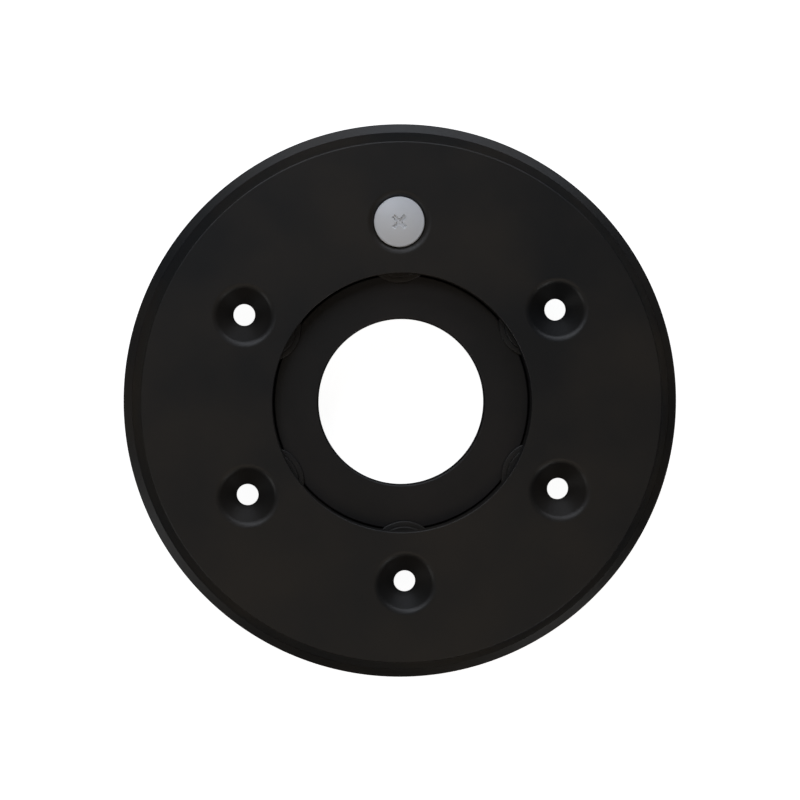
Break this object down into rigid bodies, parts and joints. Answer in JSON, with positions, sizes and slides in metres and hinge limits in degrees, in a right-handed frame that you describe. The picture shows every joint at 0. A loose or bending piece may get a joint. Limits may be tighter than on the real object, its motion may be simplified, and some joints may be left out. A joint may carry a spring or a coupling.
{
  "type": "toilet flange",
  "caption": "Round toilet floor flange, modelled as a mounting ring with countersunk screw holes and a foot flange that swivels on a pipe hub in its central recess.",
  "frame": {"origin": "on the pipe's axis, at the lower end of the hub's pipe socket, which is the lowest point of the part", "axes": "+Z along the pipe's axis, out of the face that the toilet sits on; +Y towards the hole that holds the nylon screw, which stands one degree past it"},
  "size_m": [0.1778, 0.1778, 0.0334],
  "materials": {
    "ring_abs": "satin moulded black ABS",
    "hub_abs": "satin moulded black ABS, slightly duller than the ring",
    "seal_rubber": "matt black EPDM rubber",
    "white_nylon": "natural white moulded nylon, soft gloss"
  },
  "bodies": {
    "hub": {"pipe_hub": "hub_abs", "hub_seal": "seal_rubber"},
    "ring": {"mounting_ring": "ring_abs"},
    "screw": {"nylon_screw": "white_nylon"},
    "nut": {"captive_nut": "white_nylon"}
  },
  "joints": [
    {"name": "ring_swivel", "type": "hinge", "parent": "hub", "child": "ring", "pos_m": [0, 0, 0.0193], "axis": [0, 0, 1], "continuous": true},
    {"name": "nut_travel", "type": "slide", "parent": "ring", "child": "nut", "axis": [0, 0, -1], "range_m": [0, 0.0024]},
    {"name": "screw_turn", "type": "hinge", "parent": "ring", "child": "screw", "pos_m": [-0.001, 0.05734, 0.0193], "axis": [0, 0, 1], "range_deg": [0, 1080]}
  ],
  "couplings": [
    {"joint": "screw_turn", "follows": "nut_travel", "rad_per_m": 7854}
  ]
}
